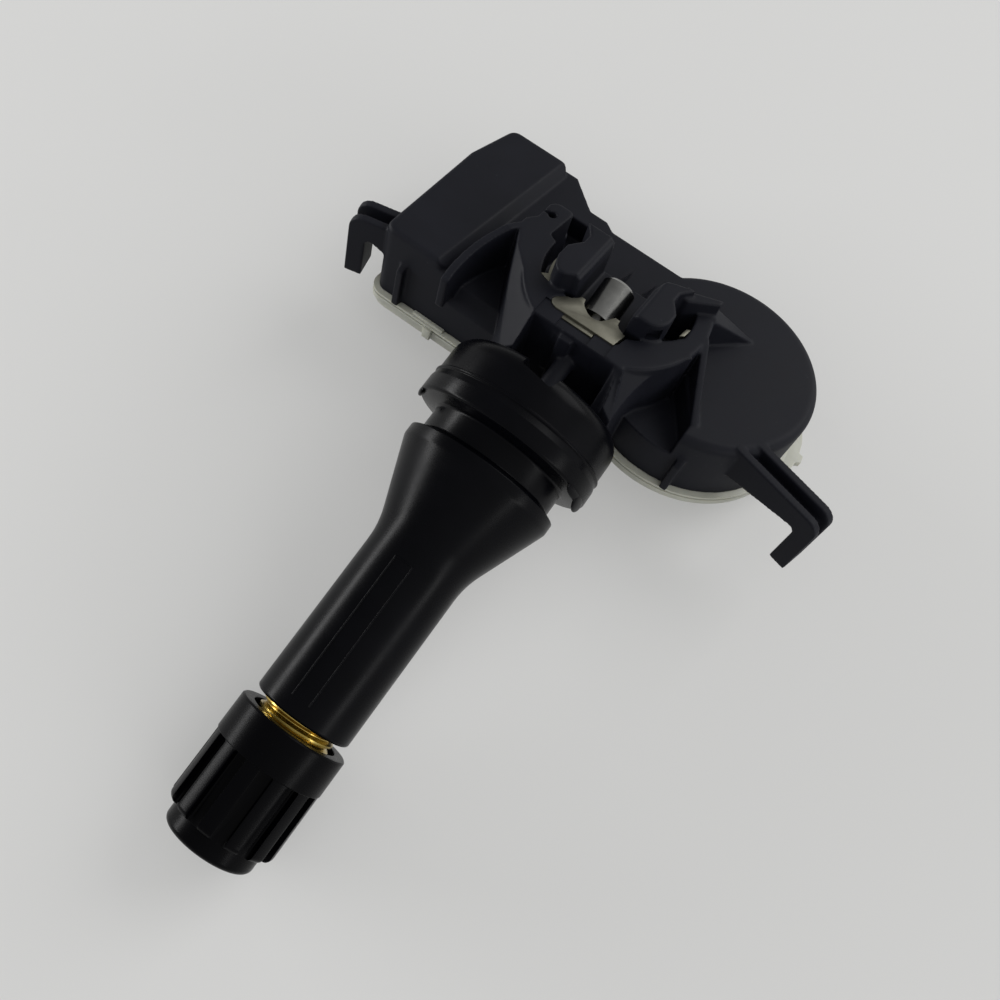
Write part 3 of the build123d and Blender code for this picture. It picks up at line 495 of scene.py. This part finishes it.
# Housing: the moulding with its edges rounded by a fine remesh, closed below, where the cover hides it
moulding = {
    "grain": 0.13,                      # size of the remesh
    "floorLow": (-22.0, 11.3, -3.5),
    "floorHigh": (11.5, 28.0, -3.0),
    "cupAt": (11.5, 21.4),
    "cupFloor": (10.8, -3.5, -3.0),     # radius, lower and upper end
    "wellAt": (0.0, 18.7),              # a floor and a wall that part the well from the battery room
    "wellRadius": 8.0,
    "wellWall": 1.0,
    "wellSides": 96,
    "wellFloor": (0.6, 1.6, 3.6),       # underside, floor and top of the wall
    "wellLow": (1.0, 13.2, 0.5),
    "wellHigh": (9.5, 26.0, 4.0),
    "fills": [
        # outline, lower and upper end: the rim's corners beside the claws, and the left claw's nose
        ([(-7.5, 13.2), (-6.97, 14.63), (-6.15, 14.34), (-5.31, 14.0), (-4.2, 14.3), (-3.44, 13.9),
          (-4.23, 13.12), (-4.36, 12.65), (-4.2, 12.2), (-5.5, 11.9)], 5.0, 7.7),
        ([(3.61, 13.56), (4.77, 14.34), (5.91, 15.36), (7.06, 16.63), (7.85, 17.72), (8.6, 17.5), (7.6, 14.4),
          (5.2, 12.2), (3.3, 12.1)], 4.0, 7.7),
        ([(-6.36, 16.07), (-6.08, 15.01), (-5.76, 14.43), (-5.25, 13.95), (-4.6, 13.95), (-3.4, 14.75),
          (-3.4, 16.5), (-5.5, 17.0)], 5.0, 10.0),
    ],
    "portAt": (-10.3, 22.1),
    "portPlug": (0.7, -1.0, 5.2),       # radius, lower and upper end
    "portHole": (0.42, 5.4, 9.0),
    "slit": ((-12.2, 21.93, 6.9), (-10.3, 22.27, 9.0)),
    "notches": [((-4.9, 10.2, 7.52), (3.2, 12.4, 9.0)), ((-2.5, 10.2, 7.28), (1.1, 12.4, 9.0))],
    # cut plain: the claws' facing sides, and the CAD form's stop ribs
    "plain": [((-2.95, 14.0, 5.6), (2.95, 22.2, 11.0)), ((-2.4, 21.7, 4.21), (2.4, 26.2, 7.0))],
    # rounded back corner of the right claw: outline and ends of the cut
    "clawCorner": [(2.5, 19.3), (3.05, 19.3), (3.24, 20.2), (3.6, 20.7), (4.32, 21.04), (5.4, 21.4),
                   (5.4, 22.5), (2.5, 22.5)],
    "clawCut": (4.3, 11.3),
    # hollow behind the rubber base, the sleeve round the foot's shank in it (radius and ends along the
    # stem), and its wall and fin
    "hollow": ((-3.0, 3.0, -2.0), (4.5, 10.05, 9.0)),
    "sleeve": (0.95, -13.0, -6.95),
    "hollowFills": [((-2.3, 10.0, 1.4), (2.3, 10.9, 6.8)), ((-1.55, 9.55, 0.5), (-0.15, 10.6, 7.15))],
    "fillRound": 0.1,
    "dimple": (0.75, 7.9, 9.3),         # in the right claw's nose: radius, lower and upper end
    "dimpleAt": (5.6, 15.1),
    "ribs": [                           # stop ribs behind the foot: three corners and a tip
        [(-2.0, 21.0, 4.0), (-0.55, 21.0, 4.0), (-0.98, 21.0, 5.3), (-0.88, 25.7, 4.1)],
        [(0.7, 21.0, 4.0), (1.98, 21.0, 4.0), (1.6, 21.0, 5.5), (2.01, 25.9, 4.1)],
    ],
    "softness": 0.5,                    # strength and rounds of the smoothing
    "softening": 5,
    "triangles": 180000,
    "smoothTo": 60,
}


def wellWall():
    under, floor, top = moulding["wellFloor"]
    radius = moulding["wellRadius"]
    at = moulding["wellAt"]
    sides = moulding["wellSides"]
    wall = rod("wellWall", radius + moulding["wellWall"], under, top, at, sides)
    carved(wall, rod("bore", radius, floor, top + shaping["past"], at, sides))
    carved(wall, cube("side", moulding["wellLow"], moulding["wellHigh"]), "INTERSECT")
    return wall


def makeHousing():
    piece = formOf("housing")
    placed(piece, houseFrame.inverted())
    for low, high in moulding["plain"]:
        carved(piece, cube("plain", low, high))
    carved(piece, slab("corner", moulding["clawCorner"], *moulding["clawCut"]))
    carved(piece, cube("hollow", *moulding["hollow"]))
    sleeve = rod("sleeve", *moulding["sleeve"])
    placed(sleeve, houseFrame.inverted() @ valveFrame)
    closing = cube("closing", moulding["floorLow"], moulding["floorHigh"])
    cup = rod("cup", *moulding["cupFloor"], moulding["cupAt"])
    plug = rod("plug", *moulding["portPlug"], moulding["portAt"])
    fills = [slab("fill", *fill) for fill in moulding["fills"]]
    fills += [cube("fill", *corners, moulding["fillRound"]) for corners in moulding["hollowFills"]]
    joined(piece, [closing, cup, plug, wellWall(), sleeve] + fills)
    modified(piece, "REMESH", mode="VOXEL", voxel_size=moulding["grain"] * mm)
    modified(piece, "SMOOTH", factor=moulding["softness"], iterations=moulding["softening"])
    count = 2 * len(piece.data.polygons)     # the remesh is all quads
    modified(piece, "DECIMATE", ratio=min(1.0, moulding["triangles"] / count))
    carved(piece, rod("port", *moulding["portHole"], moulding["portAt"]), solver="MANIFOLD")
    carved(piece, cube("slit", *moulding["slit"]), solver="MANIFOLD")
    carved(piece, rod("dimple", *moulding["dimple"], moulding["dimpleAt"]), solver="MANIFOLD")
    for low, high in moulding["notches"]:
        carved(piece, cube("notch", low, high), solver="MANIFOLD")
    joined(piece, [spike("stopRib", corners[:3], corners[3]) for corners in moulding["ribs"]])
    placed(piece, houseFrame)
    shaded(piece, moulding["smoothTo"])
    settled(piece, "housing")
    print("housing triangles before thinning:", count)


makeHousing()
print("housing rounded")


# Rubber body
rubber = {
    "outline": [
        # radius, place along the stem, round
        (2.42, -6.9, 0), (9.21, -6.9, 1.9), (9.26, -2.75, 0.06), (9.44, -2.62, 0.04), (9.44, -2.5, 0.04),
        (9.3, -2.38, 0.06), (9.47, -1.7, 0.4), (9.49, 0.0, 0.38), (7.2, 0.25, 0.3), (7.2, 2.6, 0.25),
        (8.15, 3.05, 0.14), (8.15, 4.15, 1.1), (4.95, 12.4, 9.0), (4.95, 30.4, 0.35), (3.32, 30.4, 0),
        (3.32, -3.38, 0), (5.62, -3.38, 0), (5.62, -4.62, 0), (2.42, -4.62, 0),
    ],
    "arcSteps": 6,
    "segments": 128,
    "keyLow": (-1.7, 2.44, -9.0),
    "keyHigh": (1.8, 11.0, -5.55),
    "keyRound": 0.35,
    "keyTurn": -9.0,
    "panel": (80.6, 102.4, 14.0, 28.8),      # fine lines round a panel on the stem: angles, and ends along it
    "panelSteps": 6,                         # pieces of the line that runs round the stem
    "panelLap": 0.55,                        # half a piece's length, as a share of its step
    "panelLine": (4.93, 0.09),               # radius at which a line lies, and its own
    "lineSides": 12,
    "flash": [
        # angle, radius, along, half sizes across, through and along
        (13, 9.25, 0.3, 1.5, 0.25, 0.9), (24, 9.2, 0.1, 1.9, 0.25, 0.5), (166, 9.2, 0.0, 1.3, 0.3, 0.5),
    ],
    "flashSides": (24, 16),
    "smoothTo": 35,
}


# Fine raised lines round a panel that follows the stem
def panelLines():
    first, last, low, high = rubber["panel"]
    lies, radius = rubber["panelLine"]
    sides = rubber["lineSides"]
    lines = []
    for angle in (first, last):
        line = rod("line", radius, low, high, (lies, 0), sides)
        placed(line, Matrix.Rotation(radians(angle), 4, "Z"))
        lines.append(line)
    steps = rubber["panelSteps"]
    half = lies * radians(last - first) / steps * rubber["panelLap"]
    lying = Matrix.Translation((lies * mm, 0, low * mm)) @ Matrix.Rotation(radians(90), 4, "X")
    for k in range(steps):
        line = rod("line", radius, -half, half, (0, 0), sides)
        angle = first + (last - first) * (k + 0.5) / steps
        placed(line, Matrix.Rotation(radians(angle), 4, "Z") @ lying)
        lines.append(line)
    return lines


def flashLump(angle, radius, along, across, through, reach):
    segments, rings = rubber["flashSides"]
    bpy.ops.object.select_all(action="DESELECT")
    bpy.ops.mesh.primitive_uv_sphere_add(segments=segments, ring_count=rings, radius=mm)
    lump = bpy.context.object
    lump.name = "flash"
    lump.scale = (through, across, reach)
    turn = Matrix.Rotation(radians(angle), 4, "Z")
    placed(lump, turn @ Matrix.Translation((radius * mm, 0, along * mm)))
    return lump


def makeRubber():
    piece = turned("rubberBody", rubber)
    key = cube("key", rubber["keyLow"], rubber["keyHigh"], rubber["keyRound"])
    middle = Vector((0, 0, rubber["keyHigh"][2] * mm))
    turn = Matrix.Rotation(radians(rubber["keyTurn"]), 4, "Y")
    placed(key, Matrix.Translation(middle) @ turn @ Matrix.Translation(-middle))
    carved(piece, key)
    joined(piece, panelLines() + [flashLump(*lump) for lump in rubber["flash"]])
    placed(piece, valveFrame)
    shaded(piece, rubber["smoothTo"])
    settled(piece, "rubber_valve_body")


makeRubber()
print("rubber body turned")


# Brass stem: a plain tube with a screw thread on its bare end
brass = {
    "outline": [
        (2.02, -4.6, 0), (5.6, -4.6, 0), (5.6, -3.4, 0), (3.3, -3.4, 0), (3.3, 30.42, 0), (3.42, 30.42, 0),
        (3.42, 40.6, 0.1), (3.1, 41.0, 0.1), (2.56, 41.0, 0), (2.56, 35.5, 0), (2.0, 33.7, 0), (2.0, 25.6, 0),
        (1.3, 25.3, 0), (1.3, 1.7, 0), (2.02, 1.7, 0),
    ],
    "arcSteps": 3,
    "segments": 96,
    "pitch": 0.794,
    "crest": 3.85,
    "root": 3.38,
    "threadFrom": 29.9,
    "turns": 13,
    "turnSteps": 64,
    "flat": 0.12,        # half the crest's width, as a share of the pitch
    "smoothTo": 30,
}


def makeBrass():
    piece = turned("brassStem", brass)
    pitch = brass["pitch"]
    start = brass["threadFrom"]
    steps = brass["turnSteps"]
    tooth = [(brass["root"], 0, start), (brass["crest"], 0, start + pitch * (0.5 - brass["flat"])),
             (brass["crest"], 0, start + pitch * (0.5 + brass["flat"])), (brass["root"], 0, start + pitch)]
    thread = chain("thread", tooth)
    modified(thread, "SCREW", axis="Z", angle=2 * pi, screw_offset=pitch * mm, iterations=brass["turns"],
             steps=steps, render_steps=steps, use_merge_vertices=True, merge_threshold=shaping["merge"] * mm)
    cleaned(thread)
    joined(piece, [thread])
    placed(piece, valveFrame)
    shaded(piece, brass["smoothTo"])
    settled(piece, "brass_stem")


makeBrass()
print("brass stem threaded")


# Dust cap: a turned blank with channels between the ribs
cap = {
    "outline": [
        (4.4, 31.5, 0.08), (5.45, 31.5, 0.08), (5.6, 31.65, 0.08), (5.6, 35.2, 0.08), (5.5, 35.2, 0.05),
        (5.5, 42.2, 0.6), (4.55, 42.2, 0.1), (4.55, 44.1, 0.6), (0.02, 44.1, 0), (0.02, 42.32, 0),
        (3.91, 42.32, 0), (3.91, 32.6, 0), (4.4, 32.6, 0),
    ],
    "arcSteps": 6,
    "segments": 144,
    "ribs": 12,
    "channel": ((4.7, -0.72, 35.2), (6.6, 0.72, 44.1)),
    "channelRound": 0.2,
    "channelSteps": 2,
    "edge": 0.1,
    "smoothTo": 35,
}


def makeCap():
    piece = turned("dustCapForm", cap)
    cutters = []
    for k in range(cap["ribs"]):
        cutter = cube("channel", *cap["channel"], cap["channelRound"], cap["channelSteps"])
        placed(cutter, Matrix.Rotation((k + 0.5) * 2 * pi / cap["ribs"], 4, "Z"))
        cutters.append(cutter)
    joined(cutters[0], cutters[1:])
    carved(piece, cutters[0])
    bevelled(piece, cap["edge"])
    placed(piece, valveFrame)
    shaded(piece, cap["smoothTo"])
    settled(piece, "dust_cap")


makeCap()
print("cap cut")


# Steel foot, drawn in to a thin shank behind the rubber base
foot = {
    "shank": 0.8,
    "outside": 3.2,
    "from": -12.3,
    "to": -7.0,
    "smoothTo": 35,
}


def makeFoot():
    piece = formOf("valve_foot")
    ring = rod("ring", foot["outside"], foot["from"], foot["to"])
    carved(ring, rod("core", foot["shank"], foot["from"] - shaping["past"], foot["to"] + shaping["past"]))
    placed(ring, valveFrame)
    carved(piece, ring)
    shaded(piece, foot["smoothTo"])
    settled(piece, "valve_foot")


makeFoot()
print("foot drawn in")


# Retaining plate: stamped round the foot and the claws, with a second strip under its front edge
plate = {
    "outline": [
        (3.1, 11.98), (3.4, 13.8), (3.03, 13.9), (2.5, 14.15), (2.16, 14.53), (2.11, 15.04), (1.58, 15.08),
        (1.25, 14.55), (1.0, 14.13), (0.67, 13.68), (0.17, 13.43), (-0.33, 13.4), (-0.75, 13.55),
        (-1.07, 13.78), (-1.45, 14.05), (-1.7, 14.4), (-1.83, 14.92), (-2.3, 14.94), (-2.54, 14.51),
        (-3.02, 14.04), (-3.44, 13.9), (-4.23, 13.12), (-4.36, 12.65), (-4.14, 12.27), (-3.6, 11.98),
    ],
    "crescent": [
        (-6.97, 14.63), (-6.15, 14.34), (-5.31, 14.0), (-5.2, 14.6), (-5.6, 15.5), (-6.1, 17.9),
        (-6.82, 17.74), (-6.83, 16.81), (-6.63, 15.8), (-6.34, 15.11),
    ],
    "end": [(7.45, 17.7), (7.9, 18.1), (8.0, 19.2), (7.6, 19.0)],
    "low": 7.0,
    "high": 7.7,
    "edge": 0.06,
    "strip": ((-2.6, 11.5, 7.1), (0.98, 12.2, 7.44)),
    "smoothTo": 35,
}


def makePlate():
    piece, tail, end = [slab("stampedPlate", plate[part], plate["low"], plate["high"], plate["edge"])
                        for part in ("outline", "crescent", "end")]
    joined(piece, [tail, end, cube("strip", *plate["strip"], plate["edge"])])
    placed(piece, houseFrame)
    shaded(piece, plate["smoothTo"])
    settled(piece, "retaining_plate")


makePlate()
print("plate stamped")


# Cover: soft edges, a skirt with a snap tab and a nub in front, and a lip beside the cup
cover = {
    "edge": 0.1,
    "skirt": [(-22.9, 12.0), (-22.75, 11.1), (-22.4, 10.5), (-21.7, 10.1), (-20.9, 10.0), (-9.0, 10.0),
              (-9.0, 12.0)],
    "skirtEnds": (-5.1, -4.15),
    "tabs": [((-17.4, 10.2, -4.3), (-13.5, 11.3, -3.2)), ((-15.6, 9.65, -5.1), (-14.6, 10.5, -3.7))],
    "cupAt": (11.5, 21.4),
    "lip": [
        # angle and radius round the cup's middle
        (-6, 11.6), (-2, 12.9), (8, 13.1), (9, 13.7), (13, 13.75), (14, 13.25), (20, 13.4), (26, 13.4),
        (32, 13.0), (40, 11.6), (30, 11.0), (12, 11.0),
    ],
    "lipEnds": (-4.65, -3.85),
    "smoothTo": 35,
}


def makeCover():
    piece = formOf("bottom_cover")
    bevelled(piece, cover["edge"])
    placed(piece, houseFrame.inverted())
    trims = [slab("skirt", cover["skirt"], *cover["skirtEnds"], cover["edge"])]
    trims += [cube("tab", *corners, cover["edge"]) for corners in cover["tabs"]]
    x, y = cover["cupAt"]
    lip = []
    for angle, radius in cover["lip"]:
        lip.append((x + radius * cos(radians(angle)), y + radius * sin(radians(angle))))
    trims.append(slab("lip", lip, *cover["lipEnds"], cover["edge"]))
    joined(piece, trims)
    placed(piece, houseFrame)
    shaded(piece, cover["smoothTo"])
    settled(piece, "bottom_cover")


makeCover()
print("cover finished")


# Floor, light and camera, in metres
studio = {
    "floorSize": 4.0,
    "floorColor": (0.45, 0.45, 0.445),
    "floorDark": 0.96,                        # its darker clouds, as a share of that
    "floorCloud": (60, 3.0, 0.5),             # size in mm, detail and roughness of the noise
    "floorShader": {"Specular IOR Level": 0.2, "Roughness": 0.7, "Emission Strength": 0.245},
    "glowColor": (1.0, 1.0, 0.99),            # shows to the camera and in reflections only
    "skyColor": (1.0, 1.0, 0.99, 1),
    "sky": (0.52, 0.26),                      # level overhead, and what is added towards +X
    "cameraAt": (13.57 * mm, -26.45 * mm, 98.551 * mm),
    "cameraTurn": (18.932, -4.498, 35.675),   # degrees
    "sensor": 36,                             # width in mm
    "focalShare": 0.981,                      # focal length over the width of the frame
    "clipStart": 0.005,
}
lamps = {
    # name: place, aim, width, height, power
    "backRight": ((0.30, 0.55, 0.42), (0, 0, 0), 0.5, 0.5, 2.2),
    "leftWindow": ((-0.50, -0.10, 0.10), (0, -0.01, 0.01), 0.45, 0.10, 1.9),
    "rightWindow": ((0.50, -0.10, 0.18), (0, -0.01, 0.01), 0.40, 0.07, 0.5),
}


def addFloor():
    bpy.ops.object.select_all(action="DESELECT")
    bpy.ops.mesh.primitive_plane_add(size=studio["floorSize"], location=(0, 0, 0))
    floor = bpy.context.object
    floor.name = "floor"
    finish = Finish("paleFloor", studio["floorShader"])
    seen = finish.ray("Camera") + finish.ray("Glossy") + finish.ray("Transmission")
    glow = finish.blend(seen, (0.0, 0.0, 0.0), studio["glowColor"])
    cloud = finish.noise(*studio["floorCloud"])
    light = studio["floorColor"]
    dark = tuple(studio["floorDark"] * channel for channel in light)
    floor.data.materials.append(finish.feed(color=finish.blend(cloud, dark, light), glow=glow))


def addLamps():
    for name, (place, aim, width, height, power) in lamps.items():
        data = bpy.data.lights.new(name, "AREA")
        data.shape = "RECTANGLE"
        data.size = width
        data.size_y = height
        data.energy = power
        lamp = bpy.data.objects.new(name, data)
        lamp.location = place
        lamp.rotation_euler = (Vector(aim) - Vector(place)).to_track_quat("-Z", "Y").to_euler()
        bpy.context.scene.collection.objects.link(lamp)


def addSky():
    world = bpy.data.worlds.new("sky")
    world.use_nodes = True
    back = world.node_tree.nodes["Background"]
    back.inputs["Color"].default_value = studio["skyColor"]
    wire = Wire(world.node_tree)
    towards = wire.node("SeparateXYZ", {}, {0: wire.node("TexCoord", {}, {}, "Generated")})
    level, lean = studio["sky"]
    world.node_tree.links.new((level + lean * towards).socket, back.inputs["Strength"])
    bpy.context.scene.world = world


def addCamera():
    data = bpy.data.cameras.new("camera")
    data.sensor_width = studio["sensor"]
    data.lens = data.sensor_width * studio["focalShare"]
    data.clip_start = studio["clipStart"]
    camera = bpy.data.objects.new("camera", data)
    camera.location = studio["cameraAt"]
    camera.rotation_euler = [radians(angle) for angle in studio["cameraTurn"]]
    bpy.context.scene.collection.objects.link(camera)
    bpy.context.scene.camera = camera


addFloor()
addLamps()
addSky()
addCamera()
bpy.context.scene.view_settings.view_transform = "Standard"
print("stage set")
